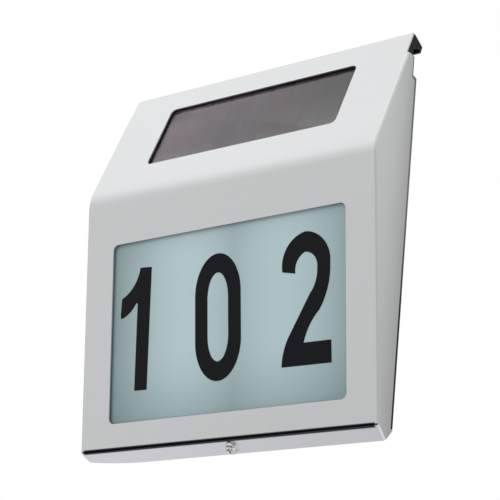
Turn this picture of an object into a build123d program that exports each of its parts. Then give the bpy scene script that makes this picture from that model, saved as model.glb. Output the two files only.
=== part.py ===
from build123d import *
import os
from math import asin, atan2, cos, degrees, hypot, radians, sin, tan

# Illuminated house number sign: a folded steel cover over a black rear tray that hangs on a wall
# bracket. Millimetres. X runs to the right, Y towards the wall, Z up. The wall is the plane Y = 0,
# and the origin is midway between the bracket's two wall screws.

# ---- folded steel cover -------------------------------------------------------------------------
cover_width = 176.0
sheet = 0.8
foot_depth = 16.0  # wall to the front's lower edge
bend_depth = 34.85  # wall to the corner between front and slope
ridge_lead = 0.68  # housing's rear face to the slope's upper edge
screws_below_ridge = 24.4  # slope's upper edge down to the wall screws
flange_fall = 41.2  # degrees below level, running back from the front's lower edge
flange_length = 8.3
bottom_bend = 2.3  # outer radius, front to bottom flange
top_bend = 18.0  # outer radius, front to slope
side_bend = 1.2  # outer radius, front to sides
side_edge_depth = 6.4  # wall to the side's rear edge
side_step = 2.3  # how far the side's rear edge steps forward near the top
side_top_drop = 12.8  # slope's upper edge down to the side's upper end
step_drop = 11.5  # side's upper end down to the step
step_rise = 0.5
toe_reach = 1.6  # the side's lowest part stands this much nearer to the wall
toe_height = 0.5  # foot up to the top of that part
corner_inset = 4.6  # ground off the left lower corner
edge_bow_radius = 270.0  # flange's edge, ground back towards its left end
edge_bow_length = 40.0  # cover's left side to where the bow begins

# ---- number window, panel and digits -------------------------------------------------------------
windows_shift = 0.75  # both windows sit this far right of the cover's middle
window_margin = 17.45  # cover's side to the window, before that shift
window_height = 90.6
window_low = 12.9  # foot to the window along the front
window_brow = 26.3  # window to the bend along the front
window_corner = 3.0
window_lap = 4.2  # how far the panel reaches past the window
panel_seal = 0.8
panel_thick = 2.0
panel_seal_setback = 0.6
digit_thick = 0.15
digit_height = 62.0
one_margin = 4.7  # window's left edge to the one
two_margin = 9.0  # window's right edge to the two
zero_shift = -4.15  # middle of the window to the middle of the zero
zero_rise = 1.1
zero_tilt = 1.1  # degrees
zero_width = 27.6
zero_stroke = 7.5
zero_end_share = 0.72  # height of the zero's curved ends to its width
zero_cap_share = 1.25  # the zero's stroke at its top to the stroke at its sides

# ---- solar window and panel ----------------------------------------------------------------------
solar_margin = 29.75  # cover's side to the window, before the windows' shift
solar_height = 40.0
solar_low = 18.9  # bend to the window along the slope
solar_brow = 14.1  # window to the slope's upper edge
solar_corner = 3.0
solar_lap = 2.8
solar_lap_top = 1.7
solar_seal = 0.9
solar_glass_thick = 0.7
solar_cell_thick = 0.2
solar_back_thick = 0.3
solar_cell_count = 9
solar_cell_gap = 0.5

# ---- rear housing --------------------------------------------------------------------------------
housing_wall = 1.8
housing_gap = 0.2  # round the inside of the steel sides
housing_front_gap = 0.3  # behind the steel front
rear_depth = 7.6  # wall to the housing's rear face
rim_thick = 1.6
rim_gap = 0.2
rim_tuck = 0.2  # the rim stands this much inside the steel's outer face
toe_gap = 0.4  # top of the side's toe up to the rim's lower end
floor_height = 1.2  # foot to the underside of the housing's floor
hook_wall_gap = 0.2
hook_fall = 3.8  # from the ridge down to the hook's rear corner
hook_thick = 1.8
lip_depth = 3.8
lip_thick = 2.6
lip_taper = 1.2
gusset_thick = 1.6
gusset_drop = 7.1  # from the ridge down to the end gussets' rear corner
gusset_share = 2 / 3  # how far down the hook's lip the gusset comes

# ---- wall bracket --------------------------------------------------------------------------------
bracket_thick = 1.5
bracket_width = 120.0
bracket_low = 14.0  # screw line down to the bracket's lower edge
bracket_corner = 3.0
bracket_bend = 2.0
bracket_gap = 0.3  # bracket rail to the hook
bracket_joggle = 3.0
wall_hole = 4.5
wall_hole_spacing = 90.0

# ---- light box and lamps -------------------------------------------------------------------------
box_wall = 1.2
box_gap = 0.05  # light box to the back of the number panel
box_rear_gap = 0.2
box_inset = 1.9  # light box inside the edge of the number panel
ear_thick = 1.6
ear_setback = 1.2  # number panel's back to the lower ears' front face
ear_height = 8.0
ear_screw_out = 4.4  # number panel's edge out to the ear screw
ear_margin = 3.4
ear_low = 9.1  # window's lower edge up to the lower ears' centre
ear_high = 5.4  # window's upper edge down to the upper ears' centre
led_board_thick = 1.0
led_board_width = 124.0
led_board_depth = 10.0
led_board_gap = 0.1
led_count = 4
led_spacing = 36.0
led_length = 3.5
led_width = 2.8
led_height = 1.0
led_window_gap = 0.8
led_setback = 11.0  # front face to the middle of the lamps
stake_spacing = 72.0
stake_diameter = 2.0
stake_head = 3.6
stake_head_height = 0.6

# ---- battery, contacts and door ------------------------------------------------------------------
cell_diameter = 14.2
cell_length = 49.2
cell_nub_diameter = 5.4
cell_nub = 1.1
cell_edge = 0.6
cell_play = 0.3
cell_below_bend = 2.4
bay_wall = 1.4
contact_thick = 0.4
contact_size = 11.0
contact_bump = 0.4
contact_bump_diameter = 4.0
contact_tab = 4.0
contact_tab_height = 4.0
contact_tab_shift = 3.0  # plus tab above the battery's axis, minus tab below
contact_gap = 0.05
spring_length = 6.0
spring_wire = 0.7
spring_radius = 3.9
spring_turns = 3.5
door_thick = 1.6
door_tongue = 0.8
door_tongue_reach = 1.6
door_lap = 2.0
door_gap = 0.1
door_travel = 18.0
rail_thick = 1.6
rail_gap = 0.2
grip_count = 4
grip_width = 20.0
grip_height = 0.6

# ---- control board -------------------------------------------------------------------------------
board_width = 34.0
board_height = 30.0
board_thick = 1.5
switch_gap = 0.6  # switch to the rear wall
board_side_gap = 9.6  # battery bay to the board
board_screw_inset = 4.0
board_boss = 5.0
switch_length = 8.6
switch_width = 4.4
switch_height = 4.5
knob_length = 2.0
knob_width = 1.5
knob_proud = 1.2
knob_travel = 2.5
knob_gap = 0.1
knob_foot = 1.4
thumb_room = 5.0  # sunk field round the knob
thumb_sink = 0.9
chip_length = 5.0
chip_width = 4.0
chip_height = 1.5
chip_leg = 0.5
chip_leg_reach = 1.0
chip_leg_pitch = 1.27
chip_leg_count = 4  # down each side
coil_diameter = 6.0
coil_height = 2.8
coil_core_share = 0.7  # core's diameter to the flanges'
capacitor_diameter = 5.0
capacitor_height = 4.0
capacitor_groove_share = 0.9  # groove's diameter to the can's

# ---- fasteners, feet and leads -------------------------------------------------------------------
lock_offset = 4.5  # lock screw to the right of the middle
lock_along = 4.7  # front's lower edge to the lock screw along the flange
lock_shank = 3.0
lock_shank_length = 6.6
lock_head = 6.2
lock_head_height = 1.6
lock_head_round = 1.4
lock_slot = 3.6
lock_slot_width = 0.8
lock_slot_depth = 0.9
washer_diameter = 7.0
washer_thick = 0.6
washer_hole = 3.2
lock_hole = 3.4
insert_diameter = 4.6
insert_length = 4.0
insert_clearance = 0.05
boss_diameter = 7.0
boss_gap = 0.4
boss_length = 6.2
small_screw = 2.2
small_screw_hole = 2.6
small_screw_length = 5.0
small_screw_head = 4.4
small_screw_head_height = 1.5
small_slot_depth = 0.7
small_slot_width = 0.6
ear_boss = 5.6
foot_diameter = 12.0
foot_gap = 0.1
foot_socket_height = 1.5
foot_socket_wall = 1.4
foot_spacing = 124.0
foot_height = 22.0
tab_width = 10.0
tab_base = 10.0
tab_tongue = 6.0
tab_reach = 5.2
tab_along = 46.0  # bend to the welded tabs along the slope
tab_side_gap = 2.8
catch_gap = 0.4
lead_diameter = 1.1
lead_spacing = 4.0
lead_bend = 1.5

# ---- sizes that follow ---------------------------------------------------------------------------
half_width = cover_width / 2
front_length = window_low + window_height + window_brow
slope_length = solar_low + solar_height + solar_brow
front_lean = degrees(asin((bend_depth - foot_depth) / front_length))
slope_lean = degrees(asin((bend_depth - rear_depth - ridge_lead) / slope_length))
cover_height = front_length * cos(radians(front_lean)) + slope_length * cos(radians(slope_lean))
foot_y = -foot_depth
foot_z = screws_below_ridge - cover_height
side_top_z = screws_below_ridge - side_top_drop
step_z = side_top_z - step_drop
window_width = cover_width - 2 * window_margin
solar_width = cover_width - 2 * solar_margin
side_face = half_width - sheet - housing_gap
side_inside = side_face - housing_wall
shell_depth = sheet + housing_front_gap
rear_y = -rear_depth
rear_inside = rear_y - housing_wall
panel_depth = sheet + panel_seal
panel_half = window_width / 2 + window_lap
panel_height = window_height + 2 * window_lap
window_middle = window_low + window_height / 2
solar_depth = sheet + solar_seal
solar_half = solar_width / 2 + solar_lap
solar_panel_low = solar_low - solar_lap
solar_panel_top = solar_low + solar_height + solar_lap_top
solar_back_depth = solar_depth + solar_glass_thick + solar_cell_thick
box_front = panel_depth + panel_thick + box_gap
box_half = panel_half - box_inset
box_low = window_low - window_lap + box_inset
box_high = window_low + window_height + window_lap - box_inset
box_rear = rear_inside - box_rear_gap
ear_x = panel_half + ear_screw_out
bay_length = cell_length + cell_nub + spring_length + cell_play + contact_bump
bay_length += 2 * contact_thick + 4 * contact_gap
board_standoff = switch_height + switch_gap
bend_turn = radians(front_lean + slope_lean)
foot_turn = radians(90 - front_lean - flange_fall)
bend_cut = top_bend * tan(bend_turn / 2)


def front_point(along, depth):
    """Y and Z of a point up the front face and behind its outer surface."""
    lean = radians(front_lean)
    y = foot_y - along * sin(lean) + depth * cos(lean)
    z = foot_z + along * cos(lean) + depth * sin(lean)
    return (y, z)


bend_y, bend_z = front_point(front_length, 0)


def slope_point(along, depth):
    """Y and Z of a point up the slope and behind its outer surface."""
    lean = radians(slope_lean)
    y = bend_y + along * sin(lean) + depth * cos(lean)
    z = bend_z + along * cos(lean) - depth * sin(lean)
    return (y, z)


def flange_point(along, depth):
    """Y and Z of a point back along the bottom flange and above its outer surface."""
    fall = radians(flange_fall)
    y = foot_y + along * cos(fall) + depth * sin(fall)
    z = foot_z - along * sin(fall) + depth * cos(fall)
    return (y, z)


def front_depth_at(along, y):
    """Depth behind the front face at which a line square to it reaches y."""
    return (y - front_point(along, 0)[0]) / cos(radians(front_lean))


def slope_depth_at(along, y):
    """Depth behind the slope at which a line square to it reaches y."""
    return (y - slope_point(along, 0)[0]) / cos(radians(slope_lean))


def slope_reach(y, depth):
    """Distance up the slope at which a depth behind it reaches y."""
    return (y - slope_point(0, depth)[0]) / sin(radians(slope_lean))


def flange_reach(y, depth):
    """Distance along the flange at which a depth above it reaches y."""
    return (y - flange_point(0, depth)[0]) / cos(radians(flange_fall))


def outline_corners(depth):
    """Lower and upper corner of the folded outline, offset inwards by depth."""
    low = front_point(depth * tan(foot_turn / 2), depth)
    high = front_point(front_length - depth * tan(bend_turn / 2), depth)
    return low, high


# working planes: local X across, local Y along the face, local Z outwards
front_plane = Plane(
    origin=(0, foot_y, foot_z), x_dir=(1, 0, 0),
    z_dir=(0, -cos(radians(front_lean)), -sin(radians(front_lean))))
slope_plane = Plane(
    origin=(0, bend_y, bend_z), x_dir=(1, 0, 0),
    z_dir=(0, -cos(radians(slope_lean)), sin(radians(slope_lean))))
lock_y, lock_z = flange_point(lock_along, 0)
lock_plane = Plane(
    origin=(lock_offset, lock_y, lock_z), x_dir=(1, 0, 0),
    z_dir=(0, -sin(radians(flange_fall)), -cos(radians(flange_fall))))
wall_plane = Plane(origin=(0, 0, 0), x_dir=(1, 0, 0), z_dir=(0, -1, 0))


def slab(points, x_low, x_high):
    """A flat outline in Y and Z, extruded from x_low to x_high."""
    section = Plane(origin=(x_low, 0, 0), x_dir=(0, 1, 0), z_dir=(1, 0, 0))
    outline = make_face(section * Polyline(*points, close=True))
    return extrude(outline, amount=x_high - x_low, dir=(1, 0, 0))


def mirrored_slabs(points, x_low, x_high):
    """The same outline on the right and on the left."""
    return slab(points, x_low, x_high) + slab(points, -x_high, -x_low)


def plate(plane, width, height, middle, depth, thick, corner, centre=0.0):
    """A rounded plate behind a plane, from depth to depth + thick."""
    outline = plane * Pos(centre, middle, -depth) * RectangleRounded(width, height, corner)
    return extrude(outline, amount=-thick)


def block(x_low, x_high, y_low, y_high, z_low, z_high):
    """A box given by its limits."""
    centre = Pos((x_low + x_high) / 2, (y_low + y_high) / 2, (z_low + z_high) / 2)
    return centre * Box(x_high - x_low, y_high - y_low, z_high - z_low)


def rod_y(x, z, y_low, y_high, diameter):
    """A cylinder along Y."""
    axis = Pos(x, (y_low + y_high) / 2, z) * Rot(90, 0, 0)
    return axis * Cylinder(diameter / 2, y_high - y_low)


def rod_out(plane, depth_low, depth_high, diameter):
    """A cylinder on a plane's axis, between two depths behind it."""
    return plane * Pos(0, 0, -(depth_low + depth_high) / 2) * Cylinder(diameter / 2, depth_high - depth_low)


def side_points():
    """The steel side's rear outline, from the flange's end up to the side's upper end."""
    rear = -side_edge_depth
    toe_rear = rear + toe_reach
    toe_top = foot_z + toe_height
    corner_depth = (toe_rear - flange_point(flange_length, 0)[0]) / sin(radians(flange_fall))
    return [
        flange_point(flange_length, corner_depth),
        (toe_rear, toe_top),
        (rear, toe_top),
        (rear, step_z - step_rise),
        (rear - side_step, step_z),
        (rear - side_step, side_top_z),
    ]


# ---- folded steel cover -------------------------------------------------------------------------
def folded_block(depth):
    """Solid within the cover's folded surfaces, offset inwards by depth, open to the wall."""
    past_wall = side_edge_depth
    low, high = outline_corners(depth)
    start = flange_point(flange_reach(past_wall, depth), depth)
    end = slope_point(slope_reach(past_wall, depth), depth)
    rounds = [bottom_bend - depth, top_bend - depth]
    chain = FilletPolyline(start, low, high, end, radius=rounds)
    outline = make_face(Plane.YZ * (chain + Line(end, start)))
    body = extrude(outline, amount=half_width - depth, both=True, dir=(1, 0, 0))
    edges = [e for e in body.edges() if abs(abs(e.center().X) - half_width + depth) < sheet / 8]
    edges = [e for e in edges if e.center().Y < past_wall - sheet]
    body = fillet(edges, side_bend - depth)
    return body - corner_cut(depth)


def corner_cut(depth):
    """The wedge that is ground off the left lower corner, offset inwards by depth."""
    foot = Vector(-half_width, foot_y, foot_z)
    flange_end = Vector(corner_inset - half_width, *flange_point(flange_length, 0))
    side_end = Vector(-half_width, *side_points()[0])
    normal = (side_end - foot).cross(flange_end - foot).normalized()
    facet = Plane(origin=foot - normal * depth, z_dir=normal)
    reach = 6 * flange_length
    return facet * Pos(0, 0, reach / 2) * Box(reach, reach, reach)


def edge_bow():
    """What the long shallow bow takes off the flange's edge, towards its left end."""
    flange_plane = Plane(origin=(-half_width, foot_y, foot_z), x_dir=(1, 0, 0), z_dir=lock_plane.z_dir)
    across = 2 * flange_length
    centre = Pos(edge_bow_length, edge_bow_radius - flange_length)
    strip = Pos(0, -flange_length) * Box(2 * edge_bow_length, flange_length, across)
    return flange_plane * (strip - centre * Cylinder(edge_bow_radius, across))


def cover_limits():
    """Everything of the folded block that the sheet keeps."""
    outside = -top_bend
    top = side_top_z
    inner_along = (top - slope_point(0, sheet)[1]) / cos(radians(slope_lean))
    low, high = outline_corners(outside)
    points = [low, flange_point(flange_length, outside)]
    points += side_points()
    points += [slope_point(inner_along, sheet), slope_point(slope_length, sheet)]
    points += [slope_point(slope_length, outside), high]
    keep = slab(points, -cover_width, cover_width)
    for side in (-1, 1):
        trim = Pos(side * cover_width, 0, top + slope_length / 2)
        keep -= trim * Box(cover_width + 2 * side_bend, cover_width, slope_length)
    return keep


def make_front_cover():
    body = folded_block(0) - folded_block(sheet)
    body = body & cover_limits()
    cut = 4 * sheet
    window = (window_width, window_height, window_middle, -sheet, cut, window_corner)
    body -= plate(front_plane, *window, windows_shift)
    solar_middle = solar_low + solar_height / 2
    solar_window = (solar_width, solar_height, solar_middle, -sheet, cut, solar_corner)
    body -= plate(slope_plane, *solar_window, windows_shift)
    body -= edge_bow()
    body -= rod_out(lock_plane, -sheet, 3 * sheet, lock_hole)
    return body


def make_cover_tabs():
    """Welded strips whose tongues hook down behind the housing's catches."""
    outer = side_inside - tab_side_gap
    tabs = []
    back = tab_reach + sheet
    points = [
        slope_point(tab_along + tab_base, sheet), slope_point(tab_along + tab_base, 2 * sheet),
        slope_point(tab_along + sheet, 2 * sheet), slope_point(tab_along + sheet, back),
        slope_point(tab_along - tab_tongue, back), slope_point(tab_along - tab_tongue, tab_reach),
        slope_point(tab_along, tab_reach), slope_point(tab_along, sheet),
    ]
    for x_low, x_high in ((outer - tab_width, outer), (-outer, tab_width - outer)):
        tabs.append(slab(points, x_low, x_high))
    return tabs


# ---- number panel and digits ---------------------------------------------------------------------
def make_panel_seal():
    corner = window_corner
    body = plate(front_plane, 2 * panel_half, panel_height, window_middle, sheet, panel_seal, corner)
    inner_width = window_width + 2 * panel_seal_setback
    inner_height = window_height + 2 * panel_seal_setback
    opening = (inner_width, inner_height, window_middle, 0, 4 * sheet, corner)
    return body - plate(front_plane, *opening, windows_shift)


def make_number_panel():
    size = (2 * panel_half, panel_height)
    return plate(front_plane, *size, window_middle, panel_depth, panel_thick, window_corner)


def digit_solid(outline):
    """A digit cut from thin film, drawn about the middle of the window."""
    face = front_plane * Pos(windows_shift, window_middle, -panel_depth) * outline
    return extrude(face, amount=digit_thick)


def drawn(stretches, left):
    """An outline from runs and arcs given as shares of the digit's height, from its left side."""
    def place(point):
        return (left + point[0] * digit_height, point[1] * digit_height)

    outline = []
    here = place(stretches[0])
    for stretch in stretches[1:]:
        if len(stretch) == 2:
            there = place(stretch)
            outline.append(Line(here, there))
        else:
            there = place(stretch[2:])
            outline.append(ThreePointArc(here, place(stretch[:2]), there))
        here = there
    return make_face(outline)


def make_digit_one():
    left = one_margin - window_width / 2
    stretches = [
        (0.1984, 0.5129), (0.3161, 0.5048), (0.2903, -0.4823), (0.1629, -0.479), (0.1774, 0.2258),
        (0.1597, 0.2258), (0.0935, 0.1548, 0.0065, 0.1145), (0, 0.1435), (0.0113, 0.279),
        (0.1339, 0.3694, 0.1984, 0.5129),
    ]
    return digit_solid(drawn(stretches, left))


def zero_ring(width, height, end):
    """A tall ring outline: straight sides between two half ellipses."""
    straight = height / 2 - end
    bow = Ellipse(width / 2, end)
    return Pos(0, straight) * bow + Pos(0, -straight) * bow + Rectangle(width, 2 * straight)


def make_digit_zero():
    end = zero_end_share * zero_width
    inner_width = zero_width - 2 * zero_stroke
    inner_height = digit_height - 2 * zero_cap_share * zero_stroke
    ring = zero_ring(zero_width, digit_height, end) - zero_ring(inner_width, inner_height, inner_width)
    return digit_solid(Pos(zero_shift, zero_rise) * Rot(0, 0, zero_tilt) * ring)


def make_digit_two():
    stretches = [
        (0, -0.4419), (0.45, -0.4484), (0.4468, -0.279), (0.2, -0.2758),
        (0.2532, -0.15, 0.3403, -0.0452), (0.4161, 0.1113, 0.4403, 0.2968),
        (0.3758, 0.4887, 0.2226, 0.5677), (0.0694, 0.4935, 0.0048, 0.2806), (0.1242, 0.2565),
        (0.15, 0.3645, 0.2129, 0.4113), (0.2952, 0.371, 0.3242, 0.2726),
        (0.3081, 0.171, 0.2581, 0.0887), (0.0645, -0.2177), (0.0177, -0.3258, 0, -0.4419),
    ]
    left = window_width / 2 - two_margin - max(point[-2] for point in stretches) * digit_height
    return digit_solid(drawn(stretches, left))


# ---- solar panel ---------------------------------------------------------------------------------
def solar_plate(depth, thick):
    height = solar_panel_top - solar_panel_low
    middle = (solar_panel_top + solar_panel_low) / 2
    return plate(slope_plane, 2 * solar_half, height, middle, depth, thick, solar_corner / 2)


def make_solar_seal():
    middle = solar_low + solar_height / 2
    opening = (solar_width, solar_height, middle, 0, 2 * solar_depth, solar_corner)
    return solar_plate(sheet, solar_seal) - plate(slope_plane, *opening, windows_shift)


def make_solar_cells():
    """Upright strips side by side behind the glass."""
    pitch = solar_width / solar_cell_count
    height = solar_panel_top - solar_panel_low - solar_lap
    middle = (solar_panel_top + solar_panel_low) / 2
    cells = []
    for index in range(solar_cell_count):
        centre = windows_shift + (index - (solar_cell_count - 1) / 2) * pitch
        place = Pos(centre, middle, -solar_depth - solar_glass_thick - solar_cell_thick / 2)
        cells.append(slope_plane * place * Box(pitch - solar_cell_gap, height, solar_cell_thick))
    return cells


# ---- rear housing --------------------------------------------------------------------------------
ridge_y, ridge_z = slope_point(slope_length, shell_depth)
hook_y = -hook_wall_gap
hook_z = ridge_z - hook_fall
hook_turn = atan2(ridge_z - hook_z, hook_y - ridge_y)
hook_drop = hook_thick / cos(hook_turn)
lip_z = hook_z - lip_depth
lip_inner = hook_y - lip_thick


def hook_underside(y):
    """Height of the hook's underside at y."""
    return ridge_z - (y - ridge_y) * tan(hook_turn) - hook_drop


def shell_outline():
    """Side view of the tray, with its hook."""
    floor = foot_z + floor_height
    floor_along = (floor - front_point(0, shell_depth)[1]) / cos(radians(front_lean))
    return [
        front_point(floor_along, shell_depth),
        front_point(front_length - bend_cut, shell_depth),
        slope_point(bend_cut, shell_depth),
        (ridge_y, ridge_z),
        (hook_y, hook_z),
        (hook_y - lip_taper, lip_z),
        (lip_inner, lip_z - sheet / 4),
        (lip_inner, hook_underside(lip_inner)),
        (rear_y, hook_underside(rear_y)),
        (rear_y, floor),
    ]


def cavity_outline():
    """Side view of the space inside the tray, open to the front."""
    floor = foot_z + floor_height + housing_wall
    shelf = solar_panel_top + housing_front_gap
    rear = slope_depth_at(shelf, rear_inside)
    outside = bend_y - top_bend
    return [
        (outside, floor),
        (rear_inside, floor),
        slope_point(shelf, rear),
        slope_point(shelf, -housing_wall),
        (outside, slope_point(shelf, -housing_wall)[1]),
    ]


def rim_outline():
    """Side view of the rim that closes behind the steel sides."""
    front = -side_edge_depth + rim_gap
    back = front + rim_thick
    upper_front = front - side_step
    rim_low = foot_z + toe_height + toe_gap
    step_low = step_z - step_rise
    return [
        (front, rim_low),
        (front, step_low + rim_gap),
        (upper_front, step_z + rim_gap),
        (upper_front, side_top_z),
        (rear_y, side_top_z),
        (rear_y, step_z + rim_thick),
        (back, step_low + rim_thick),
        (back, rim_low),
    ]


cell_y = rear_y - door_gap - cell_play - cell_diameter / 2 - cell_play
cell_z = bend_z - cell_below_bend
bay_half = cell_diameter / 2 + cell_play
bay_front = cell_y - bay_half
board_y = rear_inside - board_standoff
board_low_x = bay_length / 2 + bay_wall + board_side_gap
board_x = board_low_x + board_width / 2
board_z = cell_z + board_screw_inset / 2
knob_x = board_x - knob_travel / 2
switch_y = board_y + switch_height
knob_z = board_z


def board_screw_places():
    reach_x = board_width / 2 - board_screw_inset
    reach_z = board_height / 2 - board_screw_inset
    return [(board_x - reach_x, board_z + reach_z), (board_x + reach_x, board_z - reach_z)]


ear_heights = (window_low + ear_low, window_low + window_height - ear_high)
ear_y = front_point(ear_heights[0], box_front)[0] + ear_setback


def ear_places():
    return [(side * ear_x, foot_z + height) for side in (-1, 1) for height in ear_heights]


def foot_places():
    return [(-foot_spacing / 2, foot_z + foot_height), (foot_spacing / 2, foot_z + foot_height)]


door_half = bay_length / 2 + door_lap
door_low = cell_z - bay_half - door_lap
door_high = cell_z + bay_half + door_lap
tongue_half = door_half + door_tongue_reach
door_inner = rear_y + door_gap
rail_top = door_inner + door_tongue + rail_gap + rail_thick / 2


def add_battery_bay(body):
    """A box round the battery, open to the rear, with its door rails."""
    z_low = cell_z - bay_half
    z_high = cell_z + bay_half
    outer_x = bay_length / 2 + bay_wall
    y_low = bay_front - bay_wall
    body += block(-outer_x, outer_x, y_low, rear_inside + sheet, z_low - bay_wall, z_high + bay_wall)
    body -= block(-bay_length / 2, bay_length / 2, bay_front, rear_y + sheet, z_low, z_high)
    tab_half = contact_tab_height / 2 + contact_gap
    for side in (-1, 1):
        middle = side * (bay_length / 2 - contact_gap - contact_thick / 2)
        slot = contact_thick / 2 + contact_gap
        low = cell_z + side * contact_tab_shift - tab_half
        limits = (middle - slot, middle + slot, y_low - sheet, bay_front + sheet)
        body -= block(*limits, low, low + 2 * tab_half)
    for side in (-1, 1):
        upright = [side * (tongue_half + rail_gap), side * (tongue_half + rail_gap + rail_thick)]
        lip = [side * (door_half + rail_gap), side * (tongue_half + rail_gap + rail_thick)]
        rail = (rail_top, door_low, door_high)
        body += block(min(upright), max(upright), rear_inside + sheet, *rail)
        body += block(min(lip), max(lip), door_inner + door_tongue + rail_gap, *rail)
    stop_low = door_low - rail_gap - rail_thick
    body += block(-grip_width, grip_width, rear_inside + sheet, rail_top, stop_low, door_low - rail_gap)
    return body


def add_bosses(body):
    """Screw bosses, foot sockets, catches and the switch opening."""
    for x, z in board_screw_places():
        body += rod_y(x, z, board_y, rear_inside + sheet, board_boss)
        body -= rod_y(x, z, board_y - sheet, rear_inside + sheet, small_screw)
    for x, z in ear_places():
        body += rod_y(x, z, ear_y + ear_thick, rear_inside + sheet, ear_boss)
        body -= rod_y(x, z, ear_y, rear_inside + sheet, small_screw)
    for x, z in foot_places():
        ring = foot_diameter + 2 * foot_gap
        body += rod_y(x, z, rear_y - sheet, rear_y + foot_socket_height, ring + 2 * foot_socket_wall)
        body -= rod_y(x, z, rear_y, rear_y + 2 * foot_socket_height, ring)
    reach = tab_along - catch_gap
    width = tab_width + tab_side_gap + sheet
    length = tab_tongue - 2 * catch_gap
    depth = tab_reach - 2 * sheet - 2 * catch_gap
    for side in (-1, 1):
        centre = side * (side_inside + sheet - width / 2)
        catch = Pos(centre, reach - length / 2, -(tab_reach + 2 * sheet) / 2)
        body += slope_plane * catch * Box(width, length, depth)
    slot_low = knob_x - knob_length / 2 - 2 * knob_gap
    slot_high = knob_x + knob_length / 2 + knob_travel + 2 * knob_gap
    slot_half = knob_width / 2 + 2 * knob_gap
    back = rear_y + sheet
    body -= block(slot_low, slot_high, rear_inside - sheet, back, knob_z - slot_half, knob_z + slot_half)
    x_low = slot_low - thumb_room
    x_high = slot_high + thumb_room
    body -= block(x_low, x_high, rear_y - thumb_sink, back, knob_z - thumb_room, knob_z + thumb_room)
    return body


def make_back_housing():
    body = slab(shell_outline(), -side_face, side_face)
    body -= slab(cavity_outline(), -side_inside, side_inside)
    pocket_height = solar_panel_top - solar_panel_low + 2 * housing_front_gap
    pocket_depth = solar_back_depth + solar_back_thick + housing_front_gap
    pocket_width = 2 * solar_half + 2 * housing_front_gap
    middle = (solar_panel_top + solar_panel_low) / 2
    body -= plate(slope_plane, pocket_width, pocket_height, middle, 0, pocket_depth, solar_corner / 2)
    gusset = [
        (ridge_y, ridge_z), (hook_y, hook_z),
        (hook_y - lip_taper * gusset_share, hook_z - lip_depth * gusset_share),
        (rear_y, ridge_z - gusset_drop), (rear_y, hook_underside(rear_y)),
    ]
    body += mirrored_slabs(gusset, side_face - gusset_thick, side_face)
    rim = rim_outline()
    body += mirrored_slabs(rim, side_inside, half_width - rim_tuck)
    body += mirrored_slabs([(rear_y, rim[0][1]), *rim[5:]], side_inside, side_face)
    skirt_back = rim[-1][0]
    floor = foot_z + floor_height
    body += block(-side_face, side_face, rear_inside, skirt_back, floor, floor + housing_wall)
    body += rod_out(lock_plane, sheet + boss_gap, sheet + boss_gap + boss_length, boss_diameter)
    body -= rod_out(lock_plane, -sheet, boss_gap + boss_length, insert_diameter)
    body = add_battery_bay(body)
    return add_bosses(body)


def make_lock_insert():
    start = sheet + boss_gap
    body = rod_out(lock_plane, start, start + insert_length, insert_diameter)
    return body - rod_out(lock_plane, 0, start + 2 * insert_length, lock_shank + 2 * insert_clearance)


# ---- light box and lamps -------------------------------------------------------------------------
def box_side_view(inset, front):
    """Side view of the light box, inset from its outside."""
    low = box_low + inset
    high = box_high - inset
    rear = box_rear - inset
    return [
        front_point(low, front), front_point(high, front),
        front_point(high, front_depth_at(high, rear)), front_point(low, front_depth_at(low, rear)),
    ]


def led_places():
    return [(index - (led_count - 1) / 2) * led_spacing for index in range(led_count)]


def make_light_box():
    body = slab(box_side_view(0, box_front), -box_half, box_half)
    body -= slab(box_side_view(box_wall, 0), box_wall - box_half, box_half - box_wall)
    for x in led_places():
        hole = front_plane * Pos(x, box_high, -led_setback)
        body -= hole * Box(led_length + 2 * led_window_gap, 4 * box_wall, led_width + 2 * led_window_gap)
    for x in (-stake_spacing / 2, stake_spacing / 2):
        top = led_board_gap + led_board_thick
        peg = front_plane * Pos(x, box_high + top / 2, -led_setback) * Rot(90, 0, 0)
        body += peg * Cylinder(stake_diameter / 2, top)
        cap = front_plane * Pos(x, box_high + top + stake_head_height / 2, -led_setback) * Rot(90, 0, 0)
        body += cap * Cylinder(stake_head / 2, stake_head_height)
    for x, z in ear_places():
        ends = (abs(x) + ear_margin, box_half - box_wall / 2)
        limits = sorted(end * (1 if x > 0 else -1) for end in ends)
        half = ear_height / 2
        body += block(*limits, ear_y, ear_y + ear_thick, z - half, z + half)
        body -= rod_y(x, z, ear_y - sheet, ear_y + ear_thick + sheet, small_screw_hole)
    return body


def make_led_board():
    along = box_high + led_board_gap + led_board_thick / 2
    board = Box(led_board_width, led_board_thick, led_board_depth)
    body = front_plane * Pos(0, along, -led_setback) * board
    for x in (-stake_spacing / 2, stake_spacing / 2):
        hole = front_plane * Pos(x, along, -led_setback) * Rot(90, 0, 0)
        body -= hole * Cylinder(stake_diameter / 2 + led_board_gap, 2 * led_board_thick)
    return body


def make_led_lamps():
    along = box_high + led_board_gap - led_height / 2
    lamps = []
    for x in led_places():
        lamps.append(front_plane * Pos(x, along, -led_setback) * Box(led_length, led_height, led_width))
    return lamps


# ---- battery, contacts and door ------------------------------------------------------------------
cell_tip = bay_length / 2 - contact_gap - contact_thick - contact_bump - cell_play
cell_end = cell_tip - cell_nub - cell_length


def rod_x(x_low, x_high, diameter):
    """A cylinder along X on the battery's axis."""
    middle = Pos((x_low + x_high) / 2, cell_y, cell_z)
    return middle * Rot(0, 90, 0) * Cylinder(diameter / 2, x_high - x_low)


def make_battery_cell():
    can = rod_x(cell_end, cell_tip - cell_nub, cell_diameter)
    can = fillet(can.edges().filter_by(GeomType.CIRCLE), cell_edge)
    return can + rod_x(cell_tip - 2 * cell_nub, cell_tip, cell_nub_diameter)


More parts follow.
